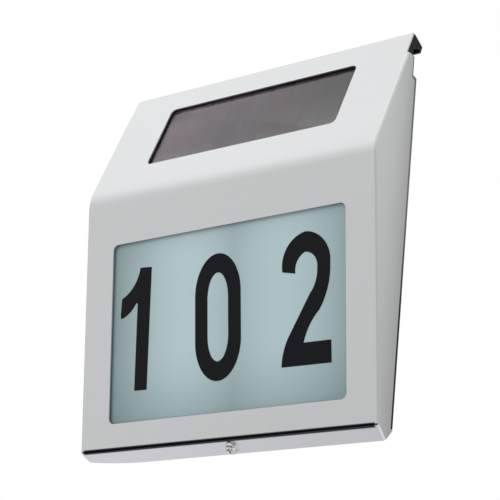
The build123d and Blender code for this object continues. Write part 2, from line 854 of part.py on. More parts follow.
def contact_plate(side):
    """A contact plate against a bay end, with a solder tab through the bay's front wall."""
    low = side * (bay_length / 2 - contact_gap - contact_thick)
    high = side * (bay_length / 2 - contact_gap)
    x_low, x_high = min(low, high), max(low, high)
    half = contact_size / 2
    body = block(x_low, x_high, cell_y - half, cell_y + half, cell_z - half, cell_z + half)
    tab_half = contact_tab_height / 2
    tab_z = cell_z + side * contact_tab_shift
    return body + block(x_low, x_high, bay_front - contact_tab, cell_y, tab_z - tab_half, tab_z + tab_half)


def make_contact_plus():
    face = bay_length / 2 - contact_gap - contact_thick
    return contact_plate(1) + rod_x(face - contact_bump, face + contact_thick / 2, contact_bump_diameter)


def make_battery_spring():
    """One unbroken coil between the minus plate and the cell."""
    start = contact_thick + 2 * contact_gap - bay_length / 2 + spring_wire / 2
    end = cell_end - contact_gap - spring_wire / 2
    pitch = (end - start) / spring_turns
    path = Helix(pitch=pitch, height=end - start, radius=spring_radius)
    profile = Plane(origin=path @ 0, z_dir=path % 0) * Circle(spring_wire / 2)
    coil = sweep(profile, path=path)
    print("battery spring: least gap between turns %.2f mm" % (pitch - spring_wire))
    return Pos(start, cell_y, cell_z) * Rot(0, 90, 0) * coil


def make_battery_door():
    face = door_inner + door_thick
    body = block(-door_half, door_half, door_inner, face, door_low, door_high)
    body += block(-tongue_half, tongue_half, door_inner, door_inner + door_tongue, door_low, door_high)
    pitch = (door_high - door_low) / (2 * grip_count)
    for index in range(grip_count):
        z = door_low + (index + 1) * pitch
        body += block(-grip_width / 2, grip_width / 2, face - sheet, face + grip_height, z, z + pitch / 2)
    return body


# ---- control board -------------------------------------------------------------------------------
board_front = board_y - board_thick


def make_control_board():
    half_w = board_width / 2
    half_h = board_height / 2
    x_low = board_x - half_w
    x_high = board_x + half_w
    body = block(x_low, x_high, board_front, board_y, board_z - half_h, board_z + half_h)
    for x, z in board_screw_places():
        body -= rod_y(x, z, board_front - sheet, board_y + sheet, small_screw_hole)
    return body


def make_switch_body():
    centre = knob_x + knob_travel / 2
    half_l = switch_length / 2
    half_w = switch_width / 2
    body = block(centre - half_l, centre + half_l, board_y, switch_y, knob_z - half_w, knob_z + half_w)
    slot_half = knob_width / 2 + knob_gap
    slot_low = knob_x - knob_length / 2 - knob_gap
    slot_high = knob_x + knob_length / 2 + knob_travel + knob_gap
    depth = (switch_y - knob_foot, switch_y + sheet)
    return body - block(slot_low, slot_high, *depth, knob_z - slot_half, knob_z + slot_half)


def make_switch_knob():
    foot = switch_y - knob_foot + knob_gap
    x_low = knob_x - knob_length / 2
    x_high = knob_x + knob_length / 2
    return block(x_low, x_high, foot, rear_y + knob_proud, knob_z - knob_width / 2, knob_z + knob_width / 2)


def make_control_chip():
    """Charge controller: a flat body with a row of legs down each side."""
    z = board_z - board_height / 4
    x = board_x + chip_length
    half_l = chip_length / 2
    half_w = chip_width / 2
    top = board_front - chip_height
    body = block(x - half_l, x + half_l, top, board_front, z - half_w, z + half_w)
    reach = chip_width / 2 + chip_leg_reach
    for index in range(chip_leg_count):
        x_leg = x + (index - (chip_leg_count - 1) / 2) * chip_leg_pitch
        leg_low = x_leg - chip_leg / 2
        foot = board_front - chip_leg
        body += block(leg_low, leg_low + chip_leg, foot, board_front, z - reach, z + reach)
    return body


def make_power_coil():
    x = board_x + chip_length
    z = board_z + board_height / 6
    body = rod_y(x, z, board_front - coil_height, board_front, coil_diameter)
    flange = coil_height / 4
    waist_limits = (board_front - coil_height + flange, board_front - flange)
    waist = rod_y(x, z, *waist_limits, coil_diameter + sheet)
    core = rod_y(x, z, board_front - coil_height, board_front, coil_diameter * coil_core_share)
    return body - (waist - core)


def make_buffer_capacitor():
    x = board_x - board_width / 5
    z = board_z - board_height / 4
    body = rod_y(x, z, board_front - capacitor_height, board_front, capacitor_diameter)
    groove = rod_y(x, z, board_front - sheet, board_front - sheet / 2, capacitor_diameter + sheet)
    waist = capacitor_diameter * capacitor_groove_share
    core = rod_y(x, z, board_front - capacitor_height, board_front, waist)
    return body - (groove - core)


# ---- fasteners and feet --------------------------------------------------------------------------
def make_lock_washer():
    body = rod_out(lock_plane, -washer_thick, 0, washer_diameter)
    return body - rod_out(lock_plane, -2 * washer_thick, washer_thick, washer_hole)


def cross_slot(width, length, depth):
    """A cross recess, as a cutter centred on the origin and sunk by depth."""
    bar = Box(length, width, 2 * depth)
    return bar + Rot(0, 0, 90) * bar


def make_lock_screw():
    under = -washer_thick
    body = rod_out(lock_plane, under, under + lock_shank_length, lock_shank)
    head = rod_out(lock_plane, under - lock_head_height, under, lock_head)
    rim = head.edges().filter_by(GeomType.CIRCLE).sort_by(Axis(lock_plane.origin, lock_plane.z_dir))[-1]
    body += fillet(rim, lock_head_round)
    top = lock_plane * Pos(0, 0, -under + lock_head_height)
    return body - top * cross_slot(lock_slot_width, lock_slot, lock_slot_depth)


def small_screw_at(x, seat_y, z):
    """A pan head screw that points towards the wall, its head seated at seat_y."""
    body = rod_y(x, z, seat_y, seat_y + small_screw_length, small_screw)
    head = rod_y(x, z, seat_y - small_screw_head_height, seat_y, small_screw_head)
    rim = head.edges().filter_by(GeomType.CIRCLE).sort_by(Axis.Y)[0]
    body += fillet(rim, small_screw_head_height / 2)
    cutter = Pos(x, seat_y - small_screw_head_height, z) * Rot(90, 0, 0)
    return body - cutter * cross_slot(small_slot_width, small_screw_head / 2, small_slot_depth)


def make_box_screws():
    return [small_screw_at(x, ear_y, z) for x, z in ear_places()]


def make_board_screws():
    return [small_screw_at(x, board_front, z) for x, z in board_screw_places()]


def make_wall_feet():
    feet = []
    for x, z in foot_places():
        foot = rod_y(x, z, rear_y, -foot_gap, foot_diameter)
        rim = foot.edges().filter_by(GeomType.CIRCLE).sort_by(Axis.Y)[-1]
        feet.append(fillet(rim, foot_diameter / 12))
    return feet


# ---- leads ---------------------------------------------------------------------------------------
def lead(points, radius=lead_bend):
    """An insulated lead: straight runs joined by tangent arcs."""
    path = FilletPolyline(*points, radius=radius)
    profile = Plane(origin=path @ 0, z_dir=path % 0) * Circle(lead_diameter / 2)
    return sweep(profile, path=path)


def solar_lead(x):
    start = slope_point(solar_panel_low + lead_spacing, solar_back_depth + solar_back_thick)
    off = slope_point(solar_panel_low + lead_spacing, solar_back_depth + solar_back_thick + lead_spacing)
    z_end = board_z + board_height / 2 - lead_spacing
    y_turn = board_front - lead_spacing
    return lead([(x, *start), (x, *off), (x, y_turn, z_end), (x, board_front, z_end)])


def battery_lead(side, z, x_end):
    face = side * (bay_length / 2 - contact_gap)
    if side < 0:
        face += contact_thick
    y = bay_front - bay_wall - contact_gap - lead_diameter / 2
    x_turn = x_end - lead_spacing
    return lead([(face, y, z), (x_turn, y, z), (x_end, y + lead_spacing, z), (x_end, board_front, z)])


def led_lead(x):
    y_end, z_end = front_point(box_high + led_board_gap + led_board_thick, led_setback)
    y_up, z_up = front_point(box_high + led_board_gap + led_board_thick + lead_spacing, led_setback)
    z_start = board_z - board_height / 2 + lead_spacing / 2
    return lead([(x, board_front, z_start), (x, y_up, z_start), (x, y_end, z_end)])


# ---- wall bracket --------------------------------------------------------------------------------
def make_wall_bracket():
    """A pressed strip: flat on the wall, then joggled forward into a rail for the hook."""
    rail_back = lip_inner - bracket_gap
    rail_front = rail_back - bracket_thick
    top = hook_underside(rail_back) - bracket_gap
    turn_high = lip_z - bracket_thick
    turn_low = turn_high - bracket_joggle
    back = [(0, -bracket_low), (0, turn_low), (rail_back, turn_high), (rail_back, top)]
    slant = hypot(rail_back, bracket_joggle)
    shift = bracket_thick * tan(atan2(-rail_back, bracket_joggle) / 2)
    front = [
        (rail_front, top), (rail_front, turn_high - shift),
        (-bracket_thick, turn_low - shift), (-bracket_thick, -bracket_low),
    ]
    rear_line = FilletPolyline(*back, radius=[bracket_bend, bracket_bend - bracket_thick])
    front_line = FilletPolyline(*front, radius=[bracket_bend, bracket_bend - bracket_thick])
    ends = Line(back[-1], front[0]) + Line(front[-1], back[0])
    outline = make_face(Plane.YZ * (rear_line + front_line + ends))
    body = extrude(outline, amount=bracket_width / 2, both=True, dir=(1, 0, 0))
    height = top + bracket_low
    middle = (top - bracket_low) / 2
    body = body & plate(wall_plane, bracket_width, height, middle, -slant * 4, slant * 8, bracket_corner)
    for x in (-wall_hole_spacing / 2, wall_hole_spacing / 2):
        body -= rod_y(x, 0, -2 * bracket_thick, bracket_thick, wall_hole)
    return body


# ---- files ---------------------------------------------------------------------------------------
def save(name, shape):
    """Writes one node, as one solid or as a group of separate solids."""
    group = Compound(children=list(shape)) if isinstance(shape, list) else shape
    export_step(group, "parts/" + name + ".step")


os.makedirs("parts", exist_ok=True)

save("wall_bracket", make_wall_bracket())
save("front_cover", make_front_cover())
save("cover_tabs", make_cover_tabs())
save("back_housing", make_back_housing())
save("number_panel_seal", make_panel_seal())
save("number_panel", make_number_panel())
save("digit_one", make_digit_one())
save("digit_zero", make_digit_zero())
save("digit_two", make_digit_two())
save("solar_seal", make_solar_seal())
save("solar_glass", solar_plate(solar_depth, solar_glass_thick))
save("solar_cells", make_solar_cells())
save("solar_back_sheet", solar_plate(solar_back_depth, solar_back_thick))
save("light_box", make_light_box())
save("light_box_screws", make_box_screws())
save("led_board", make_led_board())
save("led_lamps", make_led_lamps())
save("battery_cell", make_battery_cell())
save("battery_contact_plus", make_contact_plus())
save("battery_contact_minus", contact_plate(-1))
save("battery_spring", make_battery_spring())
save("battery_door", make_battery_door())
save("control_board", make_control_board())
save("board_screws", make_board_screws())
save("control_chip", make_control_chip())
save("power_coil", make_power_coil())
save("buffer_capacitor", make_buffer_capacitor())
save("switch_body", make_switch_body())
save("switch_knob", make_switch_knob())
save("lock_insert", make_lock_insert())
save("lock_washer", make_lock_washer())
save("lock_screw", make_lock_screw())
save("wall_feet", make_wall_feet())
save("solar_lead_red", solar_lead(board_x + lead_spacing))
save("solar_lead_black", solar_lead(board_x))
save("battery_lead_red", battery_lead(1, cell_z + contact_tab_shift, board_low_x + lead_spacing))
save("battery_lead_black", battery_lead(-1, cell_z - contact_tab_shift, board_low_x + lead_spacing))
save("led_lead_red", led_lead(board_x - lead_spacing))
save("led_lead_black", led_lead(board_x - 2 * lead_spacing))
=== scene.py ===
"""Looks of a wall-hung solar house number sign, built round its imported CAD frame.

Blender 4.5. Everything is in metres in the frame's axes: X to the right, Y into the wall, Z up,
with the origin midway between the bracket's wall screws.
"""

import bmesh
import bpy
from bpy.props import FloatProperty, FloatVectorProperty, PointerProperty
from mathutils import Matrix, Vector


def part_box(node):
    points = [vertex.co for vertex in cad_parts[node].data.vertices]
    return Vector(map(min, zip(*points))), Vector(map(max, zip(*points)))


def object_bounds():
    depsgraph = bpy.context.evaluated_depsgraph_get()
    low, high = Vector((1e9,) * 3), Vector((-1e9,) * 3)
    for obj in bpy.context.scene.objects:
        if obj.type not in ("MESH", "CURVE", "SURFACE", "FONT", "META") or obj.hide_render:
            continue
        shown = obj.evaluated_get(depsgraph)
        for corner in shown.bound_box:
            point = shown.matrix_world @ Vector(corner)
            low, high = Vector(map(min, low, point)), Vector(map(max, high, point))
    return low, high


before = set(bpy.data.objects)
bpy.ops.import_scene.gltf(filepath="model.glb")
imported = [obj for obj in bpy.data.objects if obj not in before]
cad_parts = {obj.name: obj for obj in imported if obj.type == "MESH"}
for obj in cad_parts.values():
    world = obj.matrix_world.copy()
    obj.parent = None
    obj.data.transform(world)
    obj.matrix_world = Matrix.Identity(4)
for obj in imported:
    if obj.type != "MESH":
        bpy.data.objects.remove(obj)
CAD_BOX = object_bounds()

bl_info = {
    "name": "House number sign",
    "version": (1, 0, 0),
    "blender": (4, 5, 0),
    "location": "3D View > Sidebar > Sign",
    "description": "Finishes and a studio for a lit house number sign with a solar window",
    "category": "Object",
}

MM = 0.001

# Places on the sign, in the frame's axes. A fade is given by where it starts and where it ends.
FOOT_BEND = (-16.0 * MM, -172.0 * MM)  # Y and Z of the cover's lower bend
BURNISH_AND_REFLECTION_FADE = (1.0 * MM, 1.5 * MM)  # how far from that bend the steel is burnished and has a painted dark reflection
BURNISH_AND_REFLECTION_END = (85.5 * MM, 86.5 * MM)  # how far along the bend, to either side
PANEL_POOLS = ((-23 * MM, 1.0), (33 * MM, 0.95))  # two pools of light: X from its middle, and level
PANEL_POOL_REACH = 75 * MM  # how far each pool reaches sideways
PANEL_POOL_RISE = 9 * MM  # how far the pools lie above the panel's middle
PANEL_POOL_FADE = (0.4, 1.5)  # up and down from there, in shares of the panel's half height
PANEL_POOL_LEFT = 0.4  # share of the light that is left where that fade ends
RIM_SIDE = 87.15 * MM  # only the tray's rim reaches further out to the sides than this
RIM_FADE = (-115 * MM, -65 * MM)  # the rim turns paler upwards, a painted sheen

NOISE_MIDDLE = (0.3, 0.7)  # nearly all of Blender's noise lies between these
STREAK_SHADE = 0.985  # how much of the steel's colour the darkest brush mark keeps
STREAK_ROUGHNESS = (0.19, 0.22)
CLOUD_ROUGHNESS = 0.015  # what wide soft patches add to that, or take off it
BURNISHED_ROUGHNESS = 0.08


def linear(hex_colour):
    """An sRGB hex colour as Blender's linear RGBA."""
    channels = [int(hex_colour[i:i + 2], 16) / 255 for i in (1, 3, 5)]
    curve = [c / 12.92 if c <= 0.04045 else ((c + 0.055) / 1.055) ** 2.4 for c in channels]
    return (*curve, 1.0)


def colour(label, about, hex_colour):
    """A colour that the user can change."""
    return FloatVectorProperty(
        name=label, description=about, subtype="COLOR", size=4, min=0, max=1,
        default=linear(hex_colour))


def millimetres(label, about, value):
    """A length that the user can change."""
    return FloatProperty(
        name=label, description=about, unit="LENGTH", min=0, precision=5, default=value * MM)


class SignFinishes(bpy.types.PropertyGroup):
    """Colours of the sign."""

    steel: colour("Steel", "Brushed stainless steel of the cover", "#e1e2e3")
    # The lower bend's dark colour is a painted dark reflection; the burnish itself only lowers the
    # roughness.
    bend: colour("Lower bend", "Steel where the press tool burnished the lower bend", "#3c3e42")
    panel_light: colour("Panel light", "Frosted number panel, where the light pools", "#bcd4d6")
    panel_shade: colour("Panel shade", "Frosted number panel, away from the light", "#677f7f")
    digits: colour("Digits", "Black film of the digits", "#15161a")
    cells: colour("Cells", "Thin-film solar cells, at the left", "#a88fa0")
    cells_far: colour("Cells, far side", "Thin-film solar cells, at the right", "#544b50")
    tray: colour("Tray", "Black plastic of the tray and the battery door", "#0f1012")
    # The rim's paler grey is a painted sheen on the black plastic.
    painted_rim_sheen: colour("Weathered rim", "Black plastic of the tray's rim, paled by the sun", "#7b7b7e")
    foam: colour("Seal", "Black foam of the two seals", "#0b0b0c")
    light_box: colour("Light box", "White plastic of the light box", "#eef0ee")
    sleeve: colour("Sleeve", "Printed sleeve of the rechargeable cell", "#2f7a55")


class SignSizes(bpy.types.PropertyGroup):
    """Sizes of the surface detail."""

    streak_length: millimetres("Streak length", "Length of a brush mark in the steel", 30)
    streak_width: millimetres("Streak width", "Width of a brush mark, as coarse as it shows", 0.5)
    steel_clouds: millimetres("Steel clouds", "Soft patches in the brushed steel", 25)
    zinc_clouds: millimetres("Zinc clouds", "Patches in the zinc plating", 6)
    wear: millimetres("Wear", "Wear on the polished screw, as coarse as it shows", 0.8)
    grain: millimetres("Grain", "Grain of the moulded black plastic", 0.35)
    frost: millimetres("Frost", "Grain of the etched panel, as coarse as it shows", 0.3)
    ripple: millimetres("Ripple", "Ripple in the film of the digits", 3)
    foam_cells: millimetres("Foam cells", "Cells of the seals' foam", 0.25)
    haze: millimetres("Haze", "Patches of haze on the solar glass", 8)
    cell_clouds: millimetres("Cell clouds", "Patches in the solar cells", 20)
    weave: millimetres("Weave", "Weave of the film behind the cells", 4)


def finishes():
    return bpy.context.scene.sign_finishes


def sizes():
    return bpy.context.scene.sign_sizes


# ---- node and material tools --------------------------------------------------------------------
def add_node(tree, kind, inputs=None, **settings):
    """Adds one node. Each input is a plain value, or another node's output to link."""
    node = tree.nodes.new(kind)
    for name, value in settings.items():
        setattr(node, name, value)
    for name, value in (inputs or {}).items():
        if isinstance(value, bpy.types.NodeSocket):
            tree.links.new(value, node.inputs[name])
        else:
            node.inputs[name].default_value = value
    return node


def new_material(name, inputs):
    """A material with one Principled shader. Returns the material, its tree and the shader."""
    material = bpy.data.materials.new(name)
    material.use_nodes = True
    tree = material.node_tree
    tree.nodes.clear()
    shader = add_node(tree, "ShaderNodeBsdfPrincipled", inputs)
    add_node(tree, "ShaderNodeOutputMaterial", {"Surface": shader.outputs["BSDF"]})
    return material, tree, shader


def grain(tree, length, detail=2.0, width=None):
    """Noise on Object coordinates. Its cells have a length along X, and a width if that differs."""
    across = width or length
    place = add_node(tree, "ShaderNodeTexCoord").outputs["Object"]
    scaled = add_node(tree, "ShaderNodeMapping", {
        "Vector": place, "Scale": (1 / length, 1 / across, 1 / across)})
    return add_node(tree, "ShaderNodeTexNoise", {
        "Vector": scaled.outputs["Vector"], "Scale": 1.0, "Detail": detail}).outputs["Fac"]


def spread(tree, noise, low, high):
    """Spreads noise, which stays near its middle, over the whole way from low to high."""
    return add_node(tree, "ShaderNodeMapRange", {
        "Value": noise, "From Min": NOISE_MIDDLE[0], "From Max": NOISE_MIDDLE[1],
        "To Min": low, "To Max": high}).outputs["Result"]


def vary_roughness(tree, shader, noise, low, high):
    """Lets noise change the surface between two roughnesses."""
    tree.links.new(spread(tree, noise, low, high), shader.inputs["Roughness"])


def add_relief(tree, shader, noise, strength, depth):
    """Lets noise raise and sink the surface by a depth in metres, more or less strongly."""
    relief = add_node(tree, "ShaderNodeBump", {
        "Height": noise, "Strength": strength, "Distance": depth})
    tree.links.new(relief.outputs["Normal"], shader.inputs["Normal"])


def object_place(tree, axis):
    """A point's Object coordinate along one axis."""
    place = add_node(tree, "ShaderNodeTexCoord").outputs["Object"]
    return add_node(tree, "ShaderNodeSeparateXYZ", {"Vector": place}).outputs[axis]


def distance_along(tree, axis, middle):
    """How far a point lies to either side of a middle, along one axis."""
    shifted = add_node(tree, "ShaderNodeMath", {
        0: object_place(tree, axis), 1: middle}, operation="SUBTRACT")
    return add_node(tree, "ShaderNodeMath", {
        0: shifted.outputs[0]}, operation="ABSOLUTE").outputs[0]


def burnish_and_reflection_mask(tree):
    """1 along the cover's lower bend, where the steel is burnished and has a painted dark
    reflection, and 0 away from it and at its ends.
    """
    place = add_node(tree, "ShaderNodeTexCoord").outputs["Object"]
    across = add_node(tree, "ShaderNodeMapping", {
        "Vector": place, "Location": (0.0, -FOOT_BEND[0], -FOOT_BEND[1]), "Scale": (0.0, 1.0, 1.0)})
    distance = add_node(tree, "ShaderNodeVectorMath", {
        0: across.outputs["Vector"]}, operation="LENGTH").outputs["Value"]
    near = add_node(tree, "ShaderNodeMapRange", {
        "Value": distance, "From Min": BURNISH_AND_REFLECTION_FADE[0], "From Max": BURNISH_AND_REFLECTION_FADE[1],
        "To Min": 1.0, "To Max": 0.0})
    inside = add_node(tree, "ShaderNodeMapRange", {
        "Value": distance_along(tree, "X", 0.0), "From Min": BURNISH_AND_REFLECTION_END[0],
        "From Max": BURNISH_AND_REFLECTION_END[1], "To Min": 1.0, "To Max": 0.0})
    return add_node(tree, "ShaderNodeMath", {
        0: near.outputs["Result"], 1: inside.outputs["Result"]}, operation="MULTIPLY").outputs[0]


def dress(material, *nodes):
    """Gives CAD nodes a material and leaves their meshes alone."""
    for name in nodes:
        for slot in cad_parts[name].material_slots:
            slot.material = material


# ---- materials ----------------------------------------------------------------------------------
def brushed_stainless():
    """Austenitic stainless sheet, belt brushed: long soft streaks, wide grey-white reflections."""
    material, tree, shader = new_material("brushed_stainless_steel", {"Metallic": 1.0})
    steel = tuple(finishes().steel)
    streaks = grain(tree, sizes().streak_length, width=sizes().streak_width)
    clouds = grain(tree, sizes().steel_clouds, 3.0)
    shade = add_node(tree, "ShaderNodeMix", {
        "Factor": spread(tree, streaks, 0.0, 1.0),
        "A": tuple(c * STREAK_SHADE for c in steel[:3]) + (1,), "B": steel}, data_type="RGBA")
    rough = add_node(tree, "ShaderNodeMath", {
        0: spread(tree, streaks, *STREAK_ROUGHNESS),
        1: spread(tree, clouds, -CLOUD_ROUGHNESS, CLOUD_ROUGHNESS)}, operation="ADD")
    # The lower bend is burnished, which lowers its roughness, and gets a painted dark reflection in
    # its colour.
    burnish_and_reflection = burnish_and_reflection_mask(tree)
    smooth = add_node(tree, "ShaderNodeMix", {
        "Factor": burnish_and_reflection, "A": rough.outputs[0], "B": BURNISHED_ROUGHNESS})
    tree.links.new(smooth.outputs["Result"], shader.inputs["Roughness"])
    # Painted dark reflection along the lower bend, mixed into the steel's colour.
    painted_bend_reflection = add_node(tree, "ShaderNodeMix", {
        "Factor": burnish_and_reflection, "A": shade.outputs["Result"], "B": finishes().bend}, data_type="RGBA")
    tree.links.new(painted_bend_reflection.outputs["Result"], shader.inputs["Base Color"])
    add_relief(tree, shader, streaks, strength=0.03, depth=0.02 * MM)
    return material


def zinc_plated():
    """Bright zinc on pressed steel: bluish grey with faint cloudy patches."""
    material, tree, shader = new_material("zinc_plated_steel", {"Metallic": 1.0})
    clouds = grain(tree, sizes().zinc_clouds, 4.0)
    shade = add_node(tree, "ShaderNodeMix", {
        "Factor": spread(tree, clouds, 0.0, 1.0), "A": linear("#b9bdc2"),
        "B": linear("#d3d5d6")}, data_type="RGBA")
    tree.links.new(shade.outputs["Result"], shader.inputs["Base Color"])
    vary_roughness(tree, shader, clouds, 0.26, 0.38)
    return material


def polished_stainless():
    """Cold-headed stainless screw and washer: near-mirror with fine wear."""
    material, tree, shader = new_material("polished_stainless_steel", {
        "Metallic": 1.0, "Base Color": linear("#dedede")})
    vary_roughness(tree, shader, grain(tree, sizes().wear, 3.0), 0.08, 0.16)
    return material


def moulded_black():
    """ABS, moulded with a fine spark-eroded grain: deep black, its rim paler upwards by a painted
    sheen.
    """
    material, tree, shader = new_material("moulded_black_abs", {
        "IOR": 1.53, "Specular IOR Level": 0.25})
    upper = add_node(tree, "ShaderNodeMapRange", {
        "Value": object_place(tree, "Z"), "From Min": RIM_FADE[0], "From Max": RIM_FADE[1]})
    rim = add_node(tree, "ShaderNodeMath", {
        0: distance_along(tree, "X", 0.0), 1: RIM_SIDE}, operation="GREATER_THAN")
    rim_sheen_mask = add_node(tree, "ShaderNodeMath", {
        0: rim.outputs[0], 1: upper.outputs["Result"]}, operation="MULTIPLY")
    # Painted sheen: the rim's outer edge turns towards a paler grey, more so upwards.
    shade = add_node(tree, "ShaderNodeMix", {
        "Factor": rim_sheen_mask.outputs[0], "A": finishes().tray, "B": finishes().painted_rim_sheen},
        data_type="RGBA")
    tree.links.new(shade.outputs["Result"], shader.inputs["Base Color"])
    pits = grain(tree, sizes().grain, 1.0)
    vary_roughness(tree, shader, pits, 0.40, 0.52)
    add_relief(tree, shader, pits, strength=0.25, depth=0.03 * MM)
    return material


def frosted_acrylic():
    """Cast acrylic, etched on its face: pale blue-green, lighter where the light pools."""
    material, tree, shader = new_material("frosted_acrylic", {"IOR": 1.49, "Roughness": 0.35})
    low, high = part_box("number_panel")
    middle = (low + high) / 2
    half = (high.z - low.z) / 2
    pools = []
    for place, level in PANEL_POOLS:
        pools.append(add_node(tree, "ShaderNodeMapRange", {
            "Value": distance_along(tree, "X", middle.x + place), "From Max": PANEL_POOL_REACH,
            "To Min": level, "To Max": 0.0}, interpolation_type="SMOOTHSTEP").outputs["Result"])
    pool = add_node(tree, "ShaderNodeMath", {0: pools[0], 1: pools[1]}, operation="MAXIMUM")
    rise = add_node(tree, "ShaderNodeMapRange", {
        "Value": distance_along(tree, "Z", middle.z + PANEL_POOL_RISE),
        "From Min": PANEL_POOL_FADE[0] * half, "From Max": PANEL_POOL_FADE[1] * half,
        "To Min": 1.0, "To Max": PANEL_POOL_LEFT}, interpolation_type="SMOOTHSTEP")
    lit = add_node(tree, "ShaderNodeMath", {
        0: pool.outputs[0], 1: rise.outputs["Result"]}, operation="MULTIPLY")
    shade = add_node(tree, "ShaderNodeMix", {
        "Factor": lit.outputs[0], "A": finishes().panel_shade, "B": finishes().panel_light},
        data_type="RGBA")
    tree.links.new(shade.outputs["Result"], shader.inputs["Base Color"])
    add_relief(tree, shader, grain(tree, sizes().frost, 1.0), strength=0.1, depth=0.01 * MM)
    return material


def digit_film():
    """Self-adhesive vinyl, plotter cut: even satin black."""
    material, tree, shader = new_material("black_vinyl_film", {
        "Base Color": finishes().digits, "IOR": 1.5, "Specular IOR Level": 0.1})
    vary_roughness(tree, shader, grain(tree, sizes().ripple), 0.42, 0.50)
    return material


def seal_foam():
    """Closed-cell foam strip, die cut: matt black with tiny cells."""
    material, tree, shader = new_material("black_foam_rubber", {
        "Base Color": finishes().foam, "Roughness": 0.85})
    add_relief(tree, shader, grain(tree, sizes().foam_cells, 1.0), strength=0.5, depth=0.05 * MM)
    return material


def clear_glass():
    """Float glass over the cells: clear, with a slight sheen."""
    material, tree, shader = new_material("clear_float_glass", {
        "Base Color": linear("#f4f6f6"), "Transmission Weight": 1.0, "IOR": 1.5})
    vary_roughness(tree, shader, grain(tree, sizes().haze, 3.0), 0.04, 0.10)
    return material


def thin_film_cells():
    """Amorphous silicon on its strip carriers: dull brownish violet, darker to the right."""
    material, tree, shader = new_material("thin_film_silicon", {"Roughness": 0.35, "IOR": 1.6})
    low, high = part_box("solar_cells")
    far = add_node(tree, "ShaderNodeMapRange", {
        "Value": object_place(tree, "X"), "From Min": low.x, "From Max": high.x})
    shade = add_node(tree, "ShaderNodeMix", {
        "Factor": far.outputs["Result"], "A": finishes().cells, "B": finishes().cells_far},
        data_type="RGBA")
    clouds = grain(tree, sizes().cell_clouds, 3.0)
    varied = add_node(tree, "ShaderNodeHueSaturation", {
        "Color": shade.outputs["Result"], "Value": spread(tree, clouds, 0.96, 1.04)})
    tree.links.new(varied.outputs["Color"], shader.inputs["Base Color"])
    return material


def back_laminate():
    """Black laminated film behind the cells: matt, so that the gaps stay dark."""
    material, tree, shader = new_material("black_backing_laminate", {
        "Base Color": linear("#0c0b0c"), "Specular IOR Level": 0.05})
    vary_roughness(tree, shader, grain(tree, sizes().weave), 0.5, 0.6)
    return material


def plain_plastic(name, tint, low, high, patch):
    """A moulded or coated plastic part: its colour, and a sheen that varies a little in patches."""
    material, tree, shader = new_material(name, {"Base Color": tint, "IOR": 1.5})
    vary_roughness(tree, shader, grain(tree, patch), low, high)
    return material


def plain_metal(name, tint, low, high, patch):
    """A small metal part: its colour, and a polish that varies a little in patches."""
    material, tree, shader = new_material(name, {"Base Color": tint, "Metallic": 1.0})
    vary_roughness(tree, shader, grain(tree, patch), low, high)
    return material


# ---- operators ----------------------------------------------------------------------------------
class SIGN_OT_cover(bpy.types.Operator):
    """Finishes the folded steel cover and its welded tabs"""

    bl_idname = "sign.cover"
    bl_label = "Steel cover"

    def execute(self, context):
        dress(brushed_stainless(), "front_cover", "cover_tabs")
        return {"FINISHED"}


class SIGN_OT_number_window(bpy.types.Operator):
    """Finishes the number panel, its seal and the digits"""

    bl_idname = "sign.number_window"
    bl_label = "Number window"

    def execute(self, context):
        dress(frosted_acrylic(), "number_panel")
        dress(digit_film(), "digit_one", "digit_zero", "digit_two")
        dress(seal_foam(), "number_panel_seal", "solar_seal")
        return {"FINISHED"}


class SIGN_OT_solar_window(bpy.types.Operator):
    """Finishes the solar panel"""

    bl_idname = "sign.solar_window"
    bl_label = "Solar window"

    def execute(self, context):
        dress(clear_glass(), "solar_glass")
        dress(thin_film_cells(), "solar_cells")
        dress(back_laminate(), "solar_back_sheet")
        return {"FINISHED"}


class SIGN_OT_tray(bpy.types.Operator):
    """Finishes the rear tray, its door, its feet and the wall bracket"""

    bl_idname = "sign.tray"
    bl_label = "Rear tray and bracket"

    def execute(self, context):
        dress(moulded_black(), "back_housing", "battery_door", "switch_knob")
        rubber = plain_plastic("soft_black_rubber", linear("#101011"), 0.6, 0.75, 0.5 * MM)
        dress(rubber, "wall_feet")
        dress(zinc_plated(), "wall_bracket", "light_box_screws", "board_screws", "switch_body")
        dress(polished_stainless(), "lock_screw", "lock_washer")
        brass = plain_metal("turned_brass", linear("#c9a45a"), 0.18, 0.3, 0.6 * MM)
        dress(brass, "lock_insert")
        return {"FINISHED"}


class SIGN_OT_light(bpy.types.Operator):
    """Finishes the light box with its lamps"""

    bl_idname = "sign.light"
    bl_label = "Light box and lamps"

    def execute(self, context):
        white = plain_plastic("white_polystyrene", finishes().light_box, 0.3, 0.42, 2 * MM)
        dress(white, "light_box")
        phosphor = plain_plastic("phosphor_lamp", linear("#efe39a"), 0.25, 0.4, 1 * MM)
        dress(phosphor, "led_lamps")
        return {"FINISHED"}


class SIGN_OT_electronics(bpy.types.Operator):
    """Finishes the boards, the parts on them and the leads"""

    bl_idname = "sign.electronics"
    bl_label = "Electronics"

    def execute(self, context):
        boards = plain_plastic("green_solder_mask", linear("#1c5a34"), 0.25, 0.4, 2 * MM)
        dress(boards, "led_board", "control_board")
        epoxy = plain_plastic("moulded_epoxy", linear("#17181a"), 0.4, 0.55, 1 * MM)
        dress(epoxy, "control_chip", "power_coil")
        can = plain_metal("drawn_aluminium", linear("#c9cbcd"), 0.2, 0.32, 1 * MM)
        dress(can, "buffer_capacitor")
        leads = ("solar_lead_", "battery_lead_", "led_lead_")
        red = plain_plastic("red_silicone_sleeve", linear("#b3261e"), 0.35, 0.5, 1 * MM)
        dress(red, *(lead + "red" for lead in leads))
        black = plain_plastic("black_silicone_sleeve", linear("#1a1a1b"), 0.35, 0.5, 1 * MM)
        dress(black, *(lead + "black" for lead in leads))
        return {"FINISHED"}


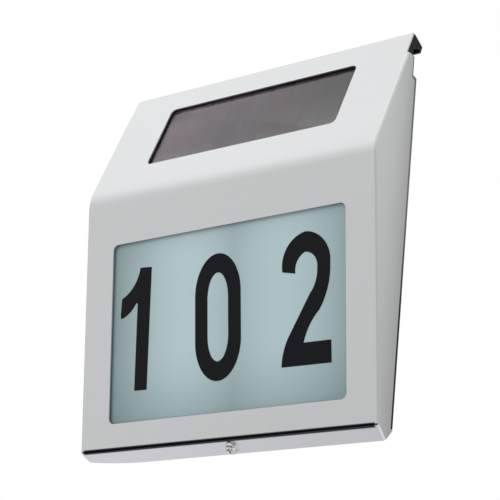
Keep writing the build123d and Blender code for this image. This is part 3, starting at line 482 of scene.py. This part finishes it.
class SIGN_OT_battery(bpy.types.Operator):
    """Finishes the rechargeable cell, its contacts and its spring"""

    bl_idname = "sign.battery"
    bl_label = "Battery"

    def execute(self, context):
        sleeve = plain_plastic("printed_sleeve", finishes().sleeve, 0.2, 0.3, 2 * MM)
        dress(sleeve, "battery_cell")
        nickel = plain_metal("nickel_plated_steel", linear("#cfc9bd"), 0.15, 0.28, 1 * MM)
        dress(nickel, "battery_contact_plus", "battery_contact_minus", "battery_spring")
        return {"FINISHED"}


# ---- stage --------------------------------------------------------------------------------------
CAMERA_PLACE = Vector((0.49325, -0.61520, -0.36852))
CAMERA_RIGHT = Vector((0.79475265, 0.59928789, 0.09603255))
CAMERA_UP = Vector((0.14127644, -0.3365445, 0.93100954))
CAMERA_BACK = Vector((0.59026197, -0.72635516, -0.3521349))
CAMERA_LENS = 123.12  # mm
CAMERA_SENSOR = 36.0  # mm
CAMERA_CLIP = (0.05, 50.0)
SIGN_MIDDLE = (CAD_BOX[0] + CAD_BOX[1]) / 2
FLOOR_DROP = 1.1
FLOOR_SIDE = 8.0
FLOOR_FADE = (-1.2, -0.55)  # X between which the floor turns a little darker
SOFT_BOX = ((-0.35, -0.75, 0.6), 1.6, 1.2, 6.0)  # way from the sign, distance, side and watts
CARDS = (  # name, way from the sign, distance, width, height and strength of what the steel mirrors
    ("black_card", (-0.579, -0.666, -0.469), 0.9, 0.6, 0.48, 0.05),  # lower bend
    ("screw_card", (0.12, -0.80, -0.58), 0.9, 0.9, 0.5, 0.03),  # upper half of the screw's head
    ("left_card", (-0.93, 0.35, 0.10), 1.0, 0.8, 0.5, 0.15),  # fold along the left edge
    ("corner_card", (0.60, -0.10, -0.80), 0.5, 0.4, 0.4, 0.95),  # mitre at the right lower corner
)
# What the cover's right side mirrors past the wall: place, way it faces, width, height, strength.
WALL_CARD = ((0.1125, 0.06, -0.02), (0, 1, 0), 0.045, 0.28, 0.35)

# The studio's light, by the way it comes from. A row has two values of that way's X, Z or height,
# and the levels at these two, with a smooth change between. The levels are multiplied.
SKY_LOWERING = (-0.67, -0.6, 0.2, 0.0)  # by X, what is taken off Z to get the height
SKY_LEVELS = (
    ("height", 0.1, 0.7, 0.68, 0.99),  # brighter upwards
    ("Z", 0.85, 0.92, 1.0, 1.25),  # brightest straight above
    ("X", -0.9, -0.3, 1.14, 0.96),  # brighter from the left
    ("X", 0.0, 0.6, 1.0, 0.83),  # darker from the right
)


def make_camera():
    """The photograph's view, fitted to the outline of the cover."""
    data = bpy.data.cameras.new("camera")
    data.lens = CAMERA_LENS
    data.sensor_width = CAMERA_SENSOR
    data.clip_start, data.clip_end = CAMERA_CLIP
    camera = bpy.data.objects.new("camera", data)
    turned = Matrix((CAMERA_RIGHT, CAMERA_UP, CAMERA_BACK)).transposed().to_4x4()
    camera.matrix_world = Matrix.Translation(CAMERA_PLACE) @ turned
    bpy.context.scene.collection.objects.link(camera)
    bpy.context.scene.camera = camera


def card(name, place, facing, width, height):
    """A flat card on the stage, given by its middle and the way it faces."""
    mesh = bpy.data.meshes.new(name)
    shape = bmesh.new()
    bmesh.ops.create_grid(shape, x_segments=1, y_segments=1, size=0.5)
    bmesh.ops.scale(shape, vec=(width, height, 1), verts=shape.verts)
    turned = Vector(facing).to_track_quat("Z", "Y").to_matrix().to_4x4()
    bmesh.ops.transform(shape, matrix=Matrix.Translation(place) @ turned, verts=shape.verts)
    shape.to_mesh(mesh)
    shape.free()
    made = bpy.data.objects.new(name, mesh)
    bpy.context.scene.collection.objects.link(made)
    return made


def glow_material(name, strength):
    """A plain emitter of one grey level, for a card."""
    material = bpy.data.materials.new(name)
    material.use_nodes = True
    tree = material.node_tree
    tree.nodes.clear()
    light = add_node(tree, "ShaderNodeEmission", {
        "Color": (1, 1, 1, 1), "Strength": strength})
    add_node(tree, "ShaderNodeOutputMaterial", {"Surface": light.outputs["Emission"]})
    return material


def reflected_card(name, place, facing, width, height, strength):
    """A card that shows only in reflections."""
    made = card(name, place, facing, width, height)
    made.data.materials.append(glow_material(name, strength))
    made.visible_camera = False
    made.visible_diffuse = False
    made.visible_transmission = False
    made.visible_volume_scatter = False
    made.visible_shadow = False


def make_world():
    """White behind the sign, and a soft studio: brighter from above and from the left."""
    world = bpy.data.worlds.new("studio")
    bpy.context.scene.world = world
    world.use_nodes = True
    tree = world.node_tree
    tree.nodes.clear()
    place = add_node(tree, "ShaderNodeTexCoord").outputs["Generated"]
    ways = add_node(tree, "ShaderNodeSeparateXYZ", {"Vector": place}).outputs
    low, high, at_low, at_high = SKY_LOWERING
    lowering = add_node(tree, "ShaderNodeMapRange", {
        "Value": ways["X"], "From Min": low, "From Max": high, "To Min": at_low,
        "To Max": at_high}, interpolation_type="SMOOTHSTEP")
    height = add_node(tree, "ShaderNodeMath", {
        0: ways["Z"], 1: lowering.outputs["Result"]}, operation="SUBTRACT")
    values = {"X": ways["X"], "Z": ways["Z"], "height": height.outputs[0]}
    level = 1.0
    for name, low, high, at_low, at_high in SKY_LEVELS:
        step = add_node(tree, "ShaderNodeMapRange", {
            "Value": values[name], "From Min": low, "From Max": high, "To Min": at_low,
            "To Max": at_high}, interpolation_type="SMOOTHSTEP")
        level = add_node(tree, "ShaderNodeMath", {
            0: level, 1: step.outputs["Result"]}, operation="MULTIPLY").outputs[0]
    path = add_node(tree, "ShaderNodeLightPath").outputs
    straight = add_node(tree, "ShaderNodeMath", {
        0: path["Is Camera Ray"], 1: path["Is Transmission Ray"]}, operation="MAXIMUM")
    strength = add_node(tree, "ShaderNodeMix", {
        "Factor": straight.outputs[0], "A": level, "B": 1.0})
    light = add_node(tree, "ShaderNodeBackground", {
        "Color": (1, 1, 1, 1), "Strength": strength.outputs["Result"]})
    add_node(tree, "ShaderNodeOutputWorld", {"Surface": light.outputs["Background"]})


def make_floor():
    """A pale floor below the sign, white to the camera."""
    made = card("floor", (0, 0, CAD_BOX[0].z - FLOOR_DROP), (0, 0, 1), FLOOR_SIDE, FLOOR_SIDE)
    material, tree, shader = new_material("pale_floor", {"Roughness": 0.9})
    made.data.materials.append(material)
    right = add_node(tree, "ShaderNodeMapRange", {
        "Value": object_place(tree, "X"), "From Min": FLOOR_FADE[0], "From Max": FLOOR_FADE[1]},
        interpolation_type="SMOOTHSTEP")
    shade = add_node(tree, "ShaderNodeMix", {
        "Factor": right.outputs["Result"], "A": linear("#edecf2"), "B": linear("#d4d4d8")},
        data_type="RGBA")
    tree.links.new(shade.outputs["Result"], shader.inputs["Base Color"])
    path = add_node(tree, "ShaderNodeLightPath").outputs
    white = add_node(tree, "ShaderNodeEmission", {"Color": (1, 1, 1, 1), "Strength": 1.0})
    shown = add_node(tree, "ShaderNodeMixShader", {
        0: path["Is Camera Ray"], 1: shader.outputs["BSDF"], 2: white.outputs["Emission"]})
    output = next(node for node in tree.nodes if node.type == "OUTPUT_MATERIAL")
    tree.links.new(shown.outputs["Shader"], output.inputs["Surface"])


def make_lamp(name, way, distance, side, power):
    """A square soft box that faces the sign, for its shade and not for a reflection."""
    data = bpy.data.lights.new(name, "AREA")
    data.size = side
    data.energy = power
    lamp = bpy.data.objects.new(name, data)
    away = Vector(way).normalized()
    turned = away.to_track_quat("Z", "Y").to_matrix().to_4x4()
    lamp.matrix_world = Matrix.Translation(SIGN_MIDDLE + away * distance) @ turned
    lamp.visible_glossy = False
    bpy.context.scene.collection.objects.link(lamp)


class SIGN_OT_stage(bpy.types.Operator):
    """Sets up the camera, the white ground and the soft studio light"""

    bl_idname = "sign.stage"
    bl_label = "Stage"

    def execute(self, context):
        context.scene.view_settings.view_transform = "Standard"
        make_camera()
        make_world()
        make_floor()
        make_lamp("soft_box", *SOFT_BOX)
        for name, way, distance, width, height, strength in CARDS:
            place = SIGN_MIDDLE + Vector(way) * distance
            reflected_card(name, place, way, width, height, strength)
        reflected_card("wall_card", *WALL_CARD)
        return {"FINISHED"}


class SIGN_PT_panel(bpy.types.Panel):
    """Sizes, colours and pieces of the sign"""

    bl_idname = "SIGN_PT_panel"
    bl_label = "House number sign"
    bl_space_type = "VIEW_3D"
    bl_region_type = "UI"
    bl_category = "Sign"

    def draw(self, context):
        for group in (context.scene.sign_sizes, context.scene.sign_finishes):
            for name in group.__annotations__:
                self.layout.prop(group, name)
        for step in STEPS:
            self.layout.operator(step.bl_idname)


STEPS = (
    SIGN_OT_stage, SIGN_OT_cover, SIGN_OT_number_window, SIGN_OT_solar_window, SIGN_OT_tray,
    SIGN_OT_light, SIGN_OT_electronics, SIGN_OT_battery,
)
CLASSES = (SignFinishes, SignSizes, *STEPS, SIGN_PT_panel)


def register():
    for item in CLASSES:
        bpy.utils.register_class(item)
    bpy.types.Scene.sign_finishes = PointerProperty(type=SignFinishes)
    bpy.types.Scene.sign_sizes = PointerProperty(type=SignSizes)


def unregister():
    del bpy.types.Scene.sign_sizes
    del bpy.types.Scene.sign_finishes
    for item in reversed(CLASSES):
        bpy.utils.unregister_class(item)


def main():
    register()
    bpy.ops.sign.stage()
    bpy.ops.sign.cover()
    bpy.ops.sign.number_window()
    bpy.ops.sign.solar_window()
    bpy.ops.sign.tray()
    bpy.ops.sign.light()
    bpy.ops.sign.electronics()
    bpy.ops.sign.battery()


if __name__ == "__main__":
    main()
